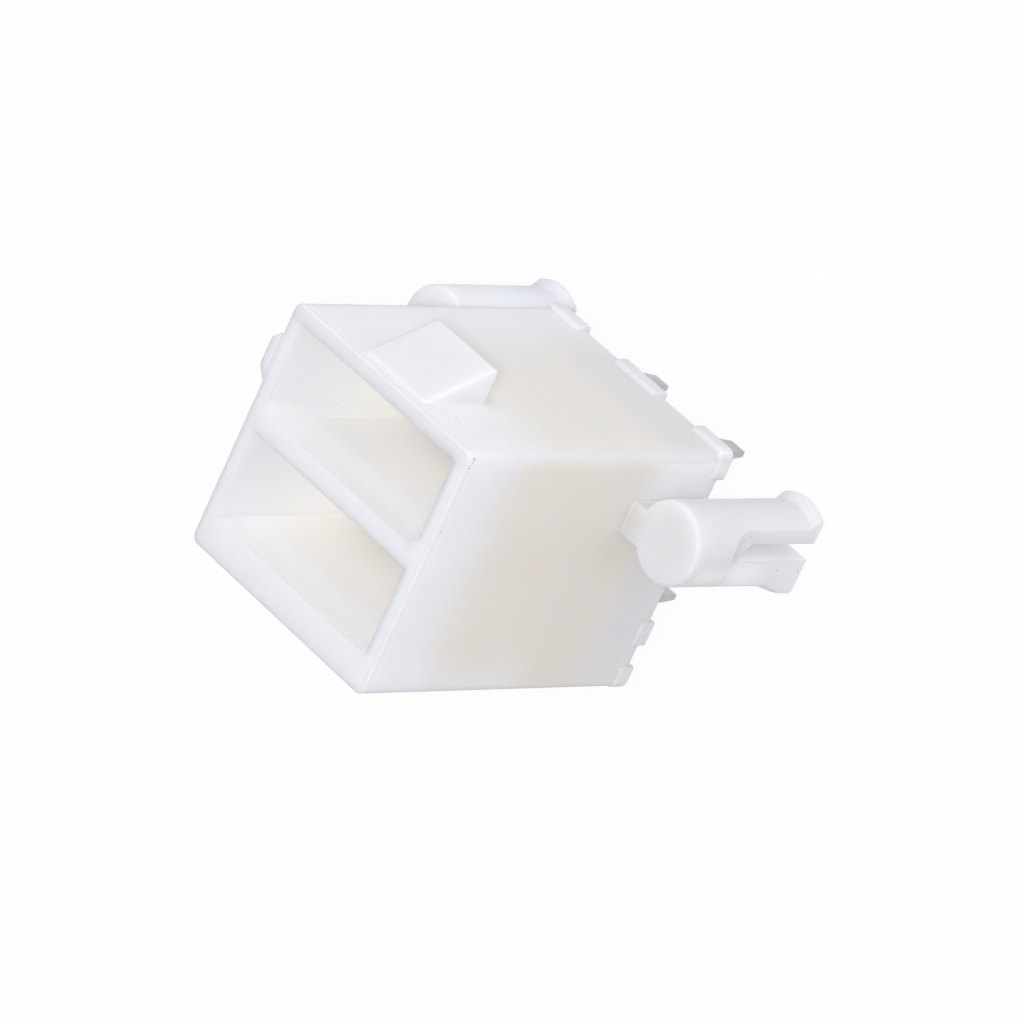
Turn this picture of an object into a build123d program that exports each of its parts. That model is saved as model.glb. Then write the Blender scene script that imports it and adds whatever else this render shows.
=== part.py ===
from build123d import *
import os

# Contacts and the slots over them, all sizes in millimetres
columns = 2                 # contacts side by side in each slot
column_pitch = 5.08
slot_height = 4.15           # across the slot, from its upper wall to its lower one
divider = 0.93              # web between the two slots
slot_depth = 11.8          # mouth to floor

# Shell walls
side_wall = 0.695
ramp_wall = 0.70            # wall that carries the locking ramp
base_wall = 1.54            # thicker wall opposite the ramp
floor_thickness = 3.2
standoff_height = 0.4
corner_round = 0.4
rim_round = 0.12
slot_round = 0.2
key_chamfer = 0.5           # cut corners of the slot on the ramp side

# Locking ramp
ramp_width = 3.94
ramp_rise = 1.7
ramp_start = 0.55           # from the mouth
ramp_end = 4.0
ramp_round = 0.18

# Key rib on one side wall
rib_foot = 2.2
rib_crown = 1.33
rib_rise = 0.43
rib_inset = 2.65            # its middle, from the ramp wall's face

# Board-lock pegs and the ears that carry them, heights from the board's upper face
board_thickness = 1.6
peg_offset = 2.43           # side wall to the peg's axis
peg_inset = 2.65            # ramp wall's face to the peg's axis
peg_r = 1.78
ear_top = 4.8
key_ear_drop = 0.65         # the ear beside the key rib stops lower
ear_round = 0.2
web_thickness = 1.48
web_shift = -0.28           # web's middle from the peg's axis
web_clearance = 0.3         # web's foot above the root of the split
head_swell = 0.32
head_bevel = 0.1
snap_gap = 0.42             # board's lower face to the steep catch of the prong on the ramp side
snap_rise = 0.4
snap_land = 0.23
grip_start = 0.85           # the other prong swells slowly and grips in the hole
grip_land = 0.6
split_width = 0.78
split_shift = 0.27
split_root = 1.4
flat_depth = 0.62
flat_runout = 1.6           # radius where a flat leaves the round

# Standoff feet on the board side
foot_proud = 0.16           # feet stand out from the ramp wall, and run out into it
side_proud = 0.08
foot_climb = 0.5            # height of that run-out above the shell's rear face
corner_foot_length = 2.05
corner_foot_width = 1.15
middle_foot_length = 2.6
base_foot_width = 1.1
side_foot_inset = 2.75       # its middle, from the base wall's face
side_foot_length = 1.06
side_foot_width = 0.9
foot_round = 0.15

# Contacts, each with a rolled barrel under a solid pin
pin_r = 1.065
strip = 0.3
pin_exposed = 5.6          # above the slot's floor
nose_length = 1.3
nose_r = 0.5
nose_blend = 1.2
seam = 0.12
barrel_swell = 0.06         # the barrel that the floor grips is thicker than the pin
barrel_top = 0.25           # above the slot's floor
barrel_slope = 0.15
flange_lip = 0.075
flange_thickness = 0.5
tail_width = 1.0
tail_thickness = 0.4
tail_reach = 4.2            # below the board's upper face
tail_tip_width = 0.86
tail_tip_thickness = 0.24
tail_taper = 0.8
fit_gap = 0.01              # between a contact and its hole, all round

# Values that follow from the sizes above
slot_width = columns * column_pitch
shell_width = slot_width + 2 * side_wall
shell_height = ramp_wall + 2 * slot_height + divider + base_wall
rear_z = standoff_height
floor_z = rear_z + floor_thickness
mouth_z = floor_z + slot_depth
half_width = shell_width / 2
half_height = shell_height / 2
peg_x = half_width + peg_offset
peg_y = half_height - peg_inset
rib_y = half_height - rib_inset
head_r = peg_r + head_swell
snap_start = board_thickness + snap_gap
head_end = snap_start + snap_rise + snap_land
barrel_r = pin_r + barrel_swell
flange_r = barrel_r + flange_lip
slot_ys = [half_height - ramp_wall - slot_height / 2 - row * (slot_height + divider) for row in range(2)]
column_xs = [(column - (columns - 1) / 2) * column_pitch for column in range(columns)]
far = 4 * (shell_width + shell_height + mouth_z)
on_base = (Align.CENTER, Align.CENTER, Align.MIN)


def slab(x_range, y_range, z_range):
    """Box between two limits along each axis."""
    sizes = [high - low for low, high in (x_range, y_range, z_range)]
    middles = [(high + low) / 2 for low, high in (x_range, y_range, z_range)]
    return Pos(*middles) * Box(*sizes)


def shell_block():
    """Outer block with rounded long corners and a softened mouth rim."""
    outline = RectangleRounded(shell_width, shell_height, corner_round)
    block = extrude(Plane.XY.offset(rear_z) * outline, mouth_z - rear_z)
    rim = block.faces().sort_by(Axis.Z)[-1].edges()
    return fillet(rim, rim_round)


def slot_cut(row):
    """Slot over one row; the one behind the ramp has its lower corners cut as a key."""
    outline = Rectangle(slot_width, slot_height)
    lower = outline.vertices().group_by(Axis.Y)[0]
    if row == 0:
        outline = chamfer(lower, key_chamfer)
    else:
        outline = fillet(lower, slot_round)
    return Pos(0, slot_ys[row], floor_z) * extrude(outline, far)


def lock_ramp():
    """Wedge that rises from the mouth to a square back."""
    sunk = half_height - ramp_wall / 2
    crest = half_height + ramp_rise
    side = Polyline((sunk, mouth_z - ramp_start), (half_height, mouth_z - ramp_start),
                    (crest, mouth_z - ramp_end), (sunk, mouth_z - ramp_end), close=True)
    wedge = extrude(Plane.YZ * make_face(side), ramp_width / 2, both=True)
    slope = wedge.faces().sort_by(Axis.Y)[-1]
    return fillet(slope.edges().filter_by_position(Axis.Y, half_height + ramp_rise / 4, far), ramp_round)


def key_rib():
    """Low rib with sloped flanks on the side wall, from the ear to the mouth."""
    wall_x = -half_width
    outline = Polyline((wall_x + side_wall / 2, rib_y + rib_foot / 2), (wall_x, rib_y + rib_foot / 2),
                       (wall_x - rib_rise, rib_y + rib_crown / 2), (wall_x - rib_rise, rib_y - rib_crown / 2),
                       (wall_x, rib_y - rib_foot / 2), (wall_x + side_wall / 2, rib_y - rib_foot / 2), close=True)
    rib_z = ear_top - key_ear_drop
    return extrude(Plane.XY.offset(rib_z) * make_face(outline), mouth_z - rib_z)


def peg_turning(top, swell_start, swell_end):
    """Peg as if turned whole, with its head swelling between two depths."""
    profile = Polyline((0, top), (peg_r, top), (peg_r, -swell_start),
                       (head_r, -swell_end), (head_r, -head_end), (0, -head_end), close=True)
    turned = revolve(Plane.XZ * make_face(profile), Axis.Z)
    rims = turned.edges().filter_by(GeomType.CIRCLE).group_by(Axis.Z)
    turned = fillet(rims[-1], ear_round)
    return chamfer(turned.edges().filter_by(GeomType.CIRCLE).group_by(Axis.Z)[0], head_bevel)


def peg(top):
    """Split peg on the Z axis: two prongs with unlike catches, side flats and a round-ended split."""
    snap_prong = peg_turning(top, snap_start, snap_start + snap_rise)
    grip_prong = peg_turning(top, grip_start, head_end - grip_land)
    body = snap_prong & slab((-far, far), (split_shift, far), (-far, far))
    body += grip_prong & slab((-far, far), (-far, split_shift), (-far, far))
    split_top = split_root - split_width / 2
    split = slab((-far, far), (split_shift - split_width / 2, split_shift + split_width / 2), (-far, split_top))
    body -= split + Pos(0, split_shift, split_top) * Rot(0, 90, 0) * Cylinder(split_width / 2, far)
    flat_x = peg_r - flat_depth
    for side in (-1, 1):
        body -= slab(sorted((side * flat_x, side * far)), (-far, far), (-far, split_root))
        body -= Pos(side * (flat_x + flat_runout), 0, split_root) * Rot(90, 0, 0) * Cylinder(flat_runout, far)
    return body


def ear(side):
    """Peg with the web that ties it to the side wall."""
    web_x = sorted((side * (half_width - side_wall / 2), side * (peg_x - peg_r / 2)))
    web_y = (peg_y + web_shift - web_thickness / 2, peg_y + web_shift + web_thickness / 2)
    top = ear_top if side > 0 else ear_top - key_ear_drop
    web = slab(web_x, web_y, (split_root + web_clearance, top))
    return Pos(side * peg_x, peg_y, 0) * peg(top) + web


def foot_outline():
    """Block that trims the feet to the shell's outline, a little proud of it on three sides."""
    outline = RectangleRounded(shell_width + 2 * side_proud, shell_height + foot_proud, corner_round)
    block = extrude(Pos(0, foot_proud / 2) * outline, rear_z + foot_climb)
    block = chamfer(block.faces().sort_by(Axis.Z)[-1].edges(), foot_proud)
    return fillet(block.faces().sort_by(Axis.Z)[0].edges(), foot_round)


def feet():
    """Feet along both long edges, and a small one on each side wall."""
    outer_x = half_width + side_proud
    inner_x = outer_x - corner_foot_length
    middle_x = middle_foot_length / 2
    tall = (0, rear_z + foot_climb)
    rows = ((half_height - corner_foot_width, far), (-far, base_foot_width - half_height))
    found = []
    for y_range in rows:
        for x_range in ((-outer_x, -inner_x), (-middle_x, middle_x), (inner_x, outer_x)):
            found.append(foot_outline() & slab(x_range, y_range, tall))
    side_y = side_foot_inset - half_height
    for side in (-1, 1):
        inner_end = outer_x - side_foot_width
        y_range = (side_y - side_foot_length / 2, side_y + side_foot_length / 2)
        found.append(foot_outline() & slab(sorted((side * inner_end, side * far)), y_range, tall))
    return found


def contact_hole(x, y):
    """Hole for a contact's barrel, wider at the board side for its flange."""
    barrel = Cylinder(barrel_r + fit_gap, far)
    seat = Cylinder(flange_r + fit_gap, flange_thickness, align=on_base)
    return Pos(x, y, 0) * barrel + Pos(x, y, rear_z) * seat


def housing():
    """The one moulding."""
    body = shell_block()
    body += lock_ramp()
    body += key_rib()
    for side in (-1, 1):
        body += ear(side)
    for standoff in feet():
        body += standoff
    for row in range(2):
        body -= slot_cut(row)
        for x in column_xs:
            body -= contact_hole(x, slot_ys[row])
    return body


def contact():
    """Pin on the Z axis, rolled below the slot's floor and solid above, with a flat tail on its +Y side."""
    tip_z = floor_z + pin_exposed
    shoulder_z = tip_z - nose_length
    seat_z = rear_z + flange_thickness
    outline = Polyline((0, rear_z), (flange_r, rear_z), (flange_r, seat_z), (barrel_r, seat_z),
                       (barrel_r, floor_z + barrel_top - barrel_slope), (pin_r, floor_z + barrel_top),
                       (pin_r, shoulder_z), (nose_r, tip_z), (0, tip_z), close=True)
    barrel = revolve(Plane.XZ * make_face(outline), Axis.Z)
    barrel = fillet(barrel.edges().filter_by_position(Axis.Z, shoulder_z - strip, shoulder_z + strip), nose_blend)
    barrel = chamfer(barrel.edges().group_by(Axis.Z)[-1], nose_r / 3)
    barrel -= Pos(0, 0, rear_z) * Cylinder(barrel_r - strip, floor_thickness, align=on_base)
    barrel -= slab((-seam / 2, seam / 2), (-far, 0), (rear_z, floor_z))
    return barrel + tail()


def tail():
    """Flat solder tail, thinned and narrowed at its tip."""
    middle_y = flange_r - tail_thickness / 2
    blade = slab((-tail_width / 2, tail_width / 2), (middle_y - tail_thickness / 2, middle_y + tail_thickness / 2),
                 (tail_taper - tail_reach, rear_z))
    root = Plane.XY.offset(tail_taper - tail_reach) * Pos(0, middle_y) * Rectangle(tail_width, tail_thickness)
    end = Plane.XY.offset(-tail_reach) * Pos(0, middle_y) * Rectangle(tail_tip_width, tail_tip_thickness)
    return blade + loft([root, end])


os.makedirs("parts", exist_ok=True)
export_step(housing(), "parts/housing.step")
for row, name in enumerate("ab"):
    for column, x in enumerate(column_xs):
        turned = Rot(0, 0, 180 * row) * contact()
        export_step(Pos(x, slot_ys[row], 0) * turned, f"parts/contact_{name}{column + 1}.step")
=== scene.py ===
import bpy
import math
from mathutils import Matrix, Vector


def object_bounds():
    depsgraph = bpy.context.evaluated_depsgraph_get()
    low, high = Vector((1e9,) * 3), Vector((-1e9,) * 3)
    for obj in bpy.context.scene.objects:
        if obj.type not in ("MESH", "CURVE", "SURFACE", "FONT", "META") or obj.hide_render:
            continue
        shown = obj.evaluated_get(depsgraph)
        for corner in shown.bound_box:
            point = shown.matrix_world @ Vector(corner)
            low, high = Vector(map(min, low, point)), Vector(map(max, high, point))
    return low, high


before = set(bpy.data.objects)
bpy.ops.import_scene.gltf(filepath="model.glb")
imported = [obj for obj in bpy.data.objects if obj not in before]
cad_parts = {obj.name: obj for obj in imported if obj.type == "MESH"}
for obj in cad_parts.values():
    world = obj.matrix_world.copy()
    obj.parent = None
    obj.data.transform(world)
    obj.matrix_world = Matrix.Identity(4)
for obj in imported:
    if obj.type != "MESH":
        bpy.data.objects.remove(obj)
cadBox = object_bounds()
mm = 0.001
white = (1, 1, 1, 1)
black = (0, 0, 0, 1)
print("stage 1: frame loaded")


class Wire:  # wraps one socket, so that shader maths reads as plain expressions
    def __init__(self, paint, socket):
        self.paint = paint
        self.socket = socket

    def math(self, operation, first, second=0.0):
        return self.paint.node("ShaderNodeMath", {"operation": operation}, {0: first, 1: second})

    def __add__(self, other):
        return self.math("ADD", self, other)

    def __radd__(self, other):
        return self.math("ADD", other, self)

    def __sub__(self, other):
        return self.math("SUBTRACT", self, other)

    def __rsub__(self, other):
        return self.math("SUBTRACT", other, self)

    def __mul__(self, other):
        return self.math("MULTIPLY", self, other)

    def __rmul__(self, other):
        return self.math("MULTIPLY", other, self)

    def least(self, other):
        return self.math("MINIMUM", self, other)

    def most(self, other):
        return self.math("MAXIMUM", self, other)

    def size(self):
        return self.math("ABSOLUTE", self)

    def ramp(self, low, high):  # smooth step from 0 to 1 while the value goes from low to high
        return self.paint.node("ShaderNodeMapRange", {"interpolation_type": "SMOOTHSTEP"},
                               {"Value": self, "From Min": low, "From Max": high})

    def out(self, name):  # another output of the same node
        return Wire(self.paint, self.socket.node.outputs[name])


class Paint:  # the nodes of one material, or of the sky
    def __init__(self, owner):
        owner.use_nodes = True
        owner.node_tree.nodes.clear()
        self.owner = owner
        self.tree = owner.node_tree

    def node(self, kind, settings=None, sockets=None):
        made = self.tree.nodes.new(kind)
        for key, value in (settings or {}).items():
            setattr(made, key, value)
        for key, value in (sockets or {}).items():
            if isinstance(value, Wire):
                self.tree.links.new(value.socket, made.inputs[key])
            else:
                made.inputs[key].default_value = value
        return Wire(self, made.outputs[0]) if made.outputs else None

    def mix(self, mask, first, second):  # colours: first where the mask is 0, second where it is 1
        return self.node("ShaderNodeMix", {"data_type": "RGBA"}, {0: mask, 6: first, 7: second}).out(2)

    def place(self):  # position on the part in millimetres
        where = self.node("ShaderNodeTexCoord").out("Object")
        return self.node("ShaderNodeVectorMath", {"operation": "SCALE"}, {0: where, "Scale": 1 / mm})

    def noise(self, vector, scale, detail):
        return self.node("ShaderNodeTexNoise", None, {"Vector": vector, "Scale": scale, "Detail": detail})

    def seenDirectly(self):  # 1 for what the camera sees, straight or in a reflection
        path = self.node("ShaderNodeLightPath")
        straight = path.out("Is Camera Ray")
        return straight.most(path.out("Is Glossy Ray")).most(path.out("Is Transmission Ray"))

    def finish(self, shader, output="ShaderNodeOutputMaterial"):
        self.node(output, None, {"Surface": shader})
        return self.owner


nylonLook = {
    "mouthLight": (0.865, 0.872, 0.900, 1),      # around the mouth, thin and full of light: painted light
    "warm": (0.822, 0.790, 0.752, 1),        # middle of the ramp wall, which backs a hollow: painted shade, darker and warmer
    "warmSide": (0.785, 0.745, 0.690, 1),    # the same painted shade on the wide side walls
    "foot": (0.765, 0.758, 0.765, 1),        # painted shade, darker towards the bottom round the solid floor
    "nookLight": (0.880, 0.875, 0.890, 1),        # side walls beside and just above the ears, painted light that lifts the shade there
    "ramp": (0.785, 0.788, 0.815, 1),        # ramp and the rim beside it, painted shade
    "edge": (0.690, 0.685, 0.700, 1),        # rounded outer edges, painted shade that dims the light they catch from the lamps
    "rib": (0.935, 0.935, 0.965, 1),         # key rib, painted light
    "web": (0.700, 0.690, 0.690, 1),         # between the side wall and the near peg, painted shade
    "peg": (0.755, 0.752, 0.775, 1),         # near peg, painted shade on its side towards the ramp
    "pegLow": (0.945, 0.938, 0.948, 1),      # its side away from the ramp, painted light
    "prongLow": (0.815, 0.808, 0.845, 1),    # the same on its prong, with painted shade
    "farPegLight": (0.865, 0.878, 0.940, 1),      # the peg beside the key rib, paler: painted light
    "farTip": (0.785, 0.788, 0.830, 1),      # its prongs, painted shade
    "inside": (0.898, 0.908, 0.930, 1),      # slot walls near the mouth, painted light where light reaches them from both sides
    "insideDeep": (0.922, 0.902, 0.872, 1),  # slot walls further down, painted warm shade
    "glow": (1.0, 0.970, 0.935, 1),          # light that comes through the walls into the slots
    "glowLow": (1.0, 0.940, 0.870, 1),       # the same on each slot's wall away from the ramp
    "glowLevel": 0.12,
    "depth": 1.5,                            # mm that light travels under the skin
    "reach": (1.0, 0.86, 0.72),              # share of that for red, green and blue
    "refraction": 1.53,
    "specular": 0.15,
    "roughness": 0.50,
    "roughnessChange": 0.12,
    "skin": 0.012,                           # mm, height of the fine moulded texture
    "skinStrength": 0.35,
    "coarseNoise": (3.2, 2.0),               # per mm, and detail, for the two grades of that texture
    "fineNoise": (9.0, 2.0),
    "coarseShare": 0.6,
    "clouds": 0.22,                          # share of wandering tone, either way
    "cloudNoise": (0.30, 4.0),               # per mm, and detail
    "mouthFade": (15.0, 10.4),               # height in mm where the warm painted shade begins and is full
    "mouthFadeDrop": 1.3,                    # mm that this lies lower on the ramp wall
    "wallFace": 5.78,                        # mm from the middle to a side wall's outer face
    "lowWallLeast": 0.15,                    # glow of the divider's wall at the key rib's end
    "lowGlowFull": 0.4,                      # glow at which it has all of its own colour
    "speck": (0.30, 0.27, 0.25, 1),
    "speckCells": 1.1,                       # cells per mm that may hold a faint speck
    "speckStart": (40.3, 17.9, 61.2),        # another start gives other specks
    "speckShare": 0.05,                      # share of the cells that hold one
    "speckChoice": 0.01,                     # softness of that choice
    "speckRim": (0.07, 0.03),                # in cells, where a speck begins and where it is full
    "speckShade": 0.30,
    "markShade": 0.55,
    "markCore": 0.3,                         # share of a mark's radius that is full
    "lineBreaks": (0.45, 0.55),              # coarse texture where the rim's line breaks and is whole
    # A cover is its share at full, then the places in mm along each axis where it begins and is full.
    # With four places it begins, is full, starts to fade and has ended.
    "covers": {
        "rampWall": (1.0, {"y": (5.0, 5.6)}),                           # wall that carries the ramp
        "ribEnd": (0.85, {"x": (-0.5, -4.4)}),                          # its end towards the key rib, paler, with less painted shade
        "baseEdge": (0.5, {"y": (-3.2, -5.2), "z": (5.0, 8.0)}),        # side walls beside the base wall, with less painted shade
        "foot": (1.0, {"z": (4.6, 1.8)}),
        "nookLight": (1.0, {"y": (0.8, 3.4), "z": (6.2, 2.6), "aside": (5.6, 5.7)}),
        "rampRim": (1.0, {"y": (4.7, 5.2), "z": (15.2, 15.35)}),
        "ramp": (1.0, {"y": (5.74, 5.90)}),
        "rib": (1.0, {"x": (-5.79, -5.85)}),
        "upright": (0.7, {"wallAndY": (10.95, 11.30)}),                 # edge of ramp wall and side wall, for the painted edge shade
        "uprightEnd": (0.5, {"z": (12.0, 15.0)}),                       # where that painted edge shade is weaker
        "mouthRamp": (0.35, {"yAndZ": (20.80, 21.0)}),                  # edge of the mouth, ramp wall, for the painted edge shade
        "mouthSide": (0.35, {"wallAndZ": (20.85, 21.05)}),              # the same, side wall
        "proud": (1.0, {"y": (5.74, 5.80)}),                            # ramp and feet, without such edges
        "ears": (1.0, {"aside": (5.85, 6.0), "z": (5.0, 4.85)}),
        "nearSide": (1.0, {"x": (-1.0, 1.0)}),                          # half of the part without the rib
        "pegBody": (1.0, {"aside": (6.3, 7.2)}),                        # beyond the web
        "lowSide": (1.0, {"y": (3.3, 2.3), "z": (4.7, 3.9)}),           # away from the ramp, for the painted light
        "prong": (1.0, {"z": (1.0, -1.0)}),
        "farTip": (1.0, {"z": (2.0, -2.0)}),                            # prongs of the peg beside the rib, for the painted shade
        "split": (0.8, {"aside": (6.3, 6.4), "y": (2.95, 2.97, 3.74, 3.76), "z": (1.43, 1.38)}),
        "slots": (1.0, {"x": (-5.13, -5.1, 5.1, 5.13), "y": (-4.24, -4.21, 5.06, 5.09),
                        "z": (3.45, 3.55, 15.2, 15.3)}),
        "slotDepth": (1.0, {"z": (14.5, 8.5)}),                         # painted warm shade further down
        "slotGlow": (1.0, {"z": (13.5, 7.0)}),                          # glow further down
        "dividerWall": (1.0, {"y": (0.72, 0.75, 0.93, 0.96)}),          # low wall of the slot by the ramp
        "dividerNear": (0.80, {"x": (-4.0, 0.8)}),                      # its end away from the key rib
        "baseWall": (0.78, {"y": (-4.10, -4.17)}),                      # low wall of the other slot
        "lowWallMouth": (1.0, {"z": (14.8, 12.8)}),                     # where the low walls begin to glow
        "lowWallFoot": (0.55, {"z": (12.0, 8.5)}),                      # where that glow is weaker again
        "rimLine": (0.10, {"x": (5.70, 5.74), "y": (2.0, 2.1, 5.5, 5.6), "z": (15.13, 15.16, 15.20, 15.23)}),
    },
    "marks": [                               # place and radius in mm
        (5.73, 5.51, 15.10, 0.12),           # rim at the ramp wall's corner
        (5.75, 5.38, 15.15, 0.08),
        (5.76, 5.24, 15.19, 0.06),
        (5.77, 5.10, 15.21, 0.07),
        (5.78, 2.14, 15.17, 0.07),
        (3.03, 5.74, 13.90, 0.07),           # beside the ramp
        (5.78, -5.45, 7.74, 0.06),           # side wall
        (5.78, -5.44, 6.28, 0.05),
        (9.37, 4.09, 1.42, 0.07),            # near peg
        (9.37, 2.46, -1.13, 0.06),
        (9.37, 2.42, -2.47, 0.06),
    ],
}


class NylonPaint(Paint):  # knows the places on the housing
    def __init__(self, look):
        super().__init__(bpy.data.materials.new("nylon_natural"))
        self.look = look
        self.spot = self.place()
        along = self.node("ShaderNodeSeparateXYZ", None, {0: self.spot})
        x, y, z = (along.out(axis) for axis in range(3))
        aside = x.size()
        wall = aside.least(look["wallFace"])
        self.axes = {"x": x, "y": y, "z": z, "aside": aside,
                     "wallAndY": wall + y, "wallAndZ": wall + z, "yAndZ": y + z}

    def cover(self, name):  # mask of one named place
        mask, limits = self.look["covers"][name]
        for axis, places in limits.items():
            mask = mask * self.axes[axis].ramp(*places[:2])
            if len(places) == 4:
                mask = mask * (1 - self.axes[axis].ramp(*places[2:]))
        return mask

    # Painted light and shade over the shell: lighter at the mouth and on the rib, darker and warmer lower
    # down, at the bottom, on the ramp and along edges.
    def shellLightAndShade(self):
        look = self.look
        drift = (self.noise(self.spot, *look["cloudNoise"]) - 0.5) * look["clouds"] * 2
        onRampWall = self.cover("rampWall")
        paler = onRampWall * self.cover("ribEnd")
        fromMouth = (self.axes["z"] + onRampWall * look["mouthFadeDrop"]).ramp(*look["mouthFade"])
        warm = self.mix(onRampWall, look["warmSide"], look["warm"])
        tone = self.mix(fromMouth + drift - paler - self.cover("baseEdge"), look["mouthLight"], warm)
        tone = self.mix(self.cover("foot") * (1 - paler), tone, look["foot"])
        tone = self.mix(self.cover("nookLight"), tone, look["nookLight"])
        tone = self.mix(self.cover("rampRim"), tone, look["ramp"])
        tone = self.mix(self.cover("ramp"), tone, look["ramp"])
        edge = self.cover("upright") * (1 - self.cover("uprightEnd"))
        edge = edge.most(self.cover("mouthRamp")).most(self.cover("mouthSide"))
        tone = self.mix(edge * (1 - self.cover("proud")), tone, look["edge"])
        return self.mix(self.cover("rib"), tone, look["rib"])

    # Painted light and shade over the pegs.
    def pegLightAndShade(self):
        look = self.look
        low = self.mix(self.cover("prong"), look["pegLow"], look["prongLow"])
        near = self.mix(self.cover("lowSide"), look["peg"], low)
        near = self.mix(self.cover("pegBody"), look["web"], near)
        far = self.mix(self.cover("farTip"), look["farPegLight"], look["farTip"])
        return self.mix(self.cover("nearSide"), far, near)

    def specks(self, texture):  # faint specks in scattered cells, single marks and a broken line on the rim
        look = self.look
        start = {0: self.spot, 1: look["speckStart"]}
        cells = self.node("ShaderNodeVectorMath", {"operation": "ADD"}, start)
        away = self.node("ShaderNodeTexVoronoi", None, {"Vector": cells, "Scale": look["speckCells"]})
        draw = self.node("ShaderNodeSeparateColor", None, {0: away.out("Color")})
        few = 1 - look["speckShare"]
        shade = away.ramp(*look["speckRim"]) * draw.ramp(few - look["speckChoice"], few) * look["speckShade"]
        for *middle, radius in look["marks"]:
            ends = {0: self.spot, 1: middle}
            away = self.node("ShaderNodeVectorMath", {"operation": "DISTANCE"}, ends).out("Value")
            shade = shade.most(away.ramp(radius, radius * look["markCore"]) * look["markShade"])
        return shade.most(self.cover("rimLine") * texture.ramp(*look["lineBreaks"]))

    def glow(self, slots):  # light that comes through the walls into the slots, and into the pegs' splits
        look = self.look
        lowWall = self.cover("dividerWall") * (self.cover("dividerNear") + look["lowWallLeast"])
        lowWall = lowWall.most(self.cover("baseWall"))
        lowWall = lowWall * self.cover("lowWallMouth") * (1 - self.cover("lowWallFoot"))
        lit = (slots * (self.cover("slotGlow") + lowWall)).most(self.cover("split"))
        colour = self.mix(lowWall.ramp(0.0, look["lowGlowFull"]), look["glow"], look["glowLow"])
        return self.mix(lit, black, colour)


def makeNylon(look):
    paint = NylonPaint(look)
    slots = paint.cover("slots")
    # Painted light in the slots near the mouth, warm painted shade further down.
    slotTone = paint.mix(paint.cover("slotDepth"), look["inside"], look["insideDeep"])
    tone = paint.mix(paint.cover("ears"), paint.shellLightAndShade(), paint.pegLightAndShade())
    tone = paint.mix(slots, tone, slotTone)
    coarse = paint.noise(paint.spot, *look["coarseNoise"])
    fine = paint.noise(paint.spot, *look["fineNoise"])
    bump = paint.node("ShaderNodeBump", None, {
        "Strength": look["skinStrength"],
        "Distance": look["skin"] * mm,
        "Height": coarse * look["coarseShare"] + fine * (1 - look["coarseShare"]),
    })
    return paint.finish(paint.node("ShaderNodeBsdfPrincipled", {"subsurface_method": "RANDOM_WALK"}, {
        "Base Color": paint.mix(paint.specks(coarse), tone, look["speck"]),
        "Roughness": look["roughness"] + (fine - 0.5) * look["roughnessChange"],
        "Normal": bump,
        "IOR": look["refraction"],
        "Specular IOR Level": look["specular"],
        "Subsurface Weight": 1.0,
        "Subsurface Radius": look["reach"],
        "Subsurface Scale": look["depth"] * mm,
        "Emission Color": paint.glow(slots),
        "Emission Strength": look["glowLevel"],
    }))


tinLook = {
    "colour": (0.52, 0.52, 0.535, 1),
    "dull": (0.41, 0.405, 0.41, 1),
    "dullFrom": (0.35, 0.75),                # height of the blotches where the dull tone begins and is full
    "blotchNoise": (1.3, 4.0),               # per mm, and detail
    "roughness": 0.36,
    "roughnessChange": 0.25,
    "lines": 0.004,                          # mm, depth of the rolling lines
    "lineStrength": 0.5,
    "lineNoise": (2.4, 3.0),
    "lineStretch": (9.0, 9.0, 0.7),          # fine across the strip and long along it
}


def makeTin(look):
    paint = Paint(bpy.data.materials.new("tin_plate"))
    spot = paint.place()
    drawn = paint.node("ShaderNodeVectorMath", {"operation": "MULTIPLY"}, {0: spot, 1: look["lineStretch"]})
    lines = paint.noise(drawn, *look["lineNoise"])
    blotch = paint.noise(spot, *look["blotchNoise"])
    bump = paint.node("ShaderNodeBump", None, {
        "Strength": look["lineStrength"],
        "Distance": look["lines"] * mm,
        "Height": lines,
    })
    return paint.finish(paint.node("ShaderNodeBsdfPrincipled", None, {
        "Base Color": paint.mix(blotch.ramp(*look["dullFrom"]), look["colour"], look["dull"]),
        "Metallic": 1.0,
        "Roughness": look["roughness"] + (blotch - 0.5) * look["roughnessChange"],
        "Normal": bump,
    }))


def dress(name, material):
    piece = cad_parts[name]
    piece.data.materials.clear()
    piece.data.materials.append(material)


dress("housing", makeNylon(nylonLook))
tin = makeTin(tinLook)
for contact in ("contact_a1", "contact_a2", "contact_b1", "contact_b2"):
    dress(contact, tin)
print("stage 2: materials on the packed pieces")

floorLook = {
    "colour": (0.86, 0.86, 0.87, 1),
    "whiteShare": 0.95,                      # share of the floor that shows as plain white to the camera
    "half": 0.5,                             # m, half of its side
    "gap": 0.02,                             # mm under the lowest point of the part
}


def makeFloor(look):
    paint = Paint(bpy.data.materials.new("floor_paper"))
    lit = paint.node("ShaderNodeBsdfDiffuse", None, {"Color": look["colour"]})
    plain = paint.node("ShaderNodeEmission", None, {"Color": white, "Strength": 1.0})
    share = paint.seenDirectly() * look["whiteShare"]
    material = paint.finish(paint.node("ShaderNodeMixShader", None, {0: share, 1: lit, 2: plain}))
    half = look["half"]
    low = cadBox[0][2] - look["gap"] * mm
    corners = [(-half, -half, low), (half, -half, low), (half, half, low), (-half, half, low)]
    mesh = bpy.data.meshes.new("floor")
    mesh.from_pydata(corners, [], [(0, 1, 2, 3)])
    mesh.materials.append(material)
    floor = bpy.data.objects.new("floor", mesh)
    bpy.context.scene.collection.objects.link(floor)


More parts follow.
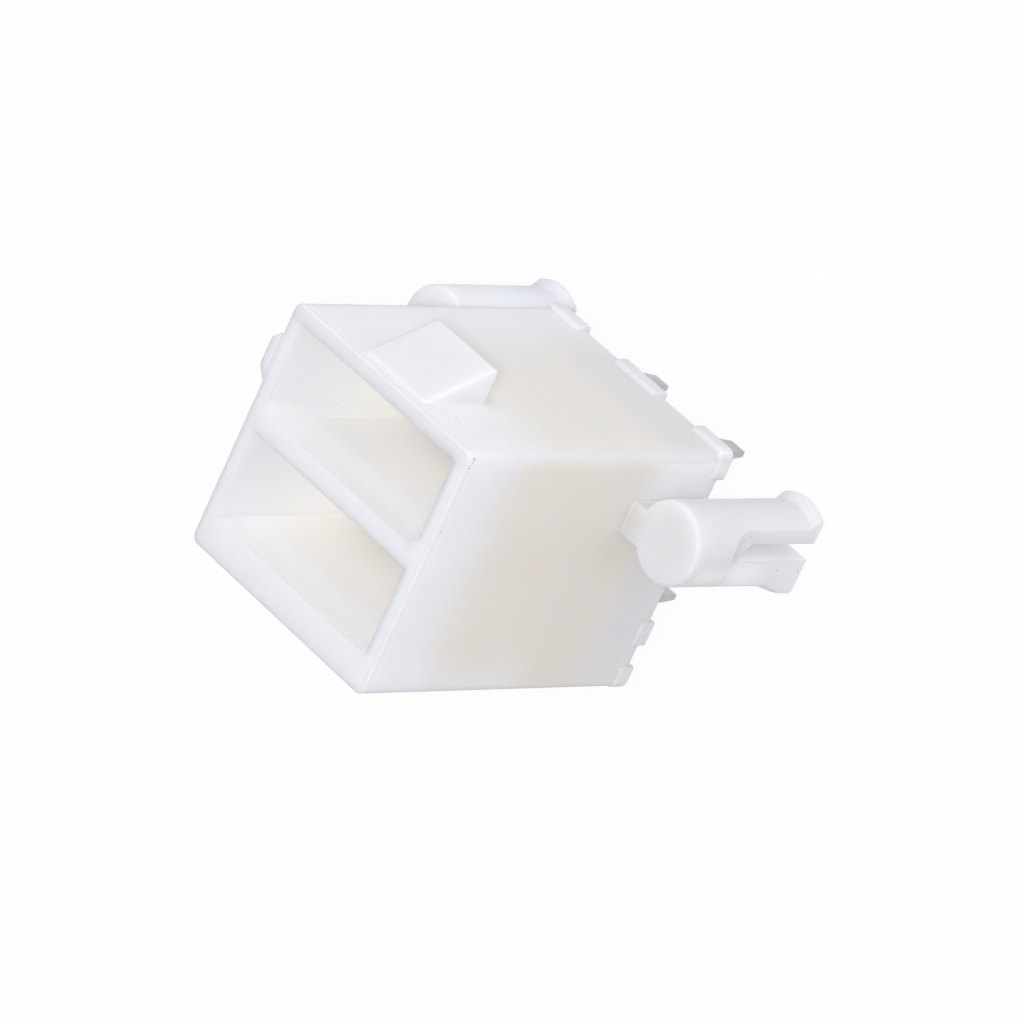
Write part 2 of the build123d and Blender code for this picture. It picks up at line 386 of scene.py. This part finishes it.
lightLook = {
    "aim": (0, 0, 5),                        # mm, the point that both lamps look at
    "lamps": {                               # direction to the lamp, distance and size in m, power in W
        "front": {"direction": (0.540, 0.350, 0.765), "distance": 0.36, "size": 0.04,
                  "power": 0.62, "colour": (0.98, 0.98, 1.0)},
        "top": {"direction": (-0.08, 0.86, 0.50), "distance": 0.30, "size": 0.12,
                "power": 0.155, "colour": (1.0, 0.99, 0.98)},
    },
}


def makeLights(look):
    aim = Vector(look["aim"]) * mm
    for name, lampLook in look["lamps"].items():
        lamp = bpy.data.lights.new(name, "AREA")
        lamp.shape = "DISK"
        lamp.size = lampLook["size"]
        lamp.energy = lampLook["power"]
        lamp.color = lampLook["colour"]
        toLamp = Vector(lampLook["direction"]).normalized()
        holder = bpy.data.objects.new(name, lamp)
        holder.location = aim + toLamp * lampLook["distance"]
        holder.rotation_euler = toLamp.to_track_quat("Z", "Y").to_euler()
        bpy.context.scene.collection.objects.link(holder)


skyLook = {
    "colour": (0.96, 0.97, 1.0, 1),          # even studio light
    "level": 0.47,
}


def makeSky(look):
    world = bpy.data.worlds.new("studio")
    paint = Paint(world)
    lit = paint.node("ShaderNodeBackground", None, {"Color": look["colour"], "Strength": look["level"]})
    plain = paint.node("ShaderNodeBackground", None, {"Color": white, "Strength": 1.0})
    shader = paint.node("ShaderNodeMixShader", None, {0: paint.seenDirectly(), 1: lit, 2: plain})
    bpy.context.scene.world = paint.finish(shader, "ShaderNodeOutputWorld")


cameraLook = {
    "place": (189.564, 124.012, 241.295),    # mm
    "turn": (-0.4509, 43.7661, 32.6983),     # degrees
    "lens": 281.25,
    "sensor": 36.0,
    "clip": (0.01, 5.0),                     # m
}


def makeCamera(look):
    lens = bpy.data.cameras.new("camera")
    lens.lens = look["lens"]
    lens.sensor_width = look["sensor"]
    lens.clip_start, lens.clip_end = look["clip"]
    camera = bpy.data.objects.new("camera", lens)
    camera.location = Vector(look["place"]) * mm
    camera.rotation_euler = [math.radians(angle) for angle in look["turn"]]
    bpy.context.scene.collection.objects.link(camera)
    bpy.context.scene.camera = camera


renderLook = {
    "view": "Standard",
    "diffuseBounces": 10,                    # light goes round many times in the pale slots
    "bounces": 16,
}

makeFloor(floorLook)
makeLights(lightLook)
makeSky(skyLook)
makeCamera(cameraLook)
bpy.context.scene.view_settings.view_transform = renderLook["view"]
bpy.context.scene.cycles.diffuse_bounces = renderLook["diffuseBounces"]
bpy.context.scene.cycles.max_bounces = renderLook["bounces"]
print("stage 3: floor, lights and camera")
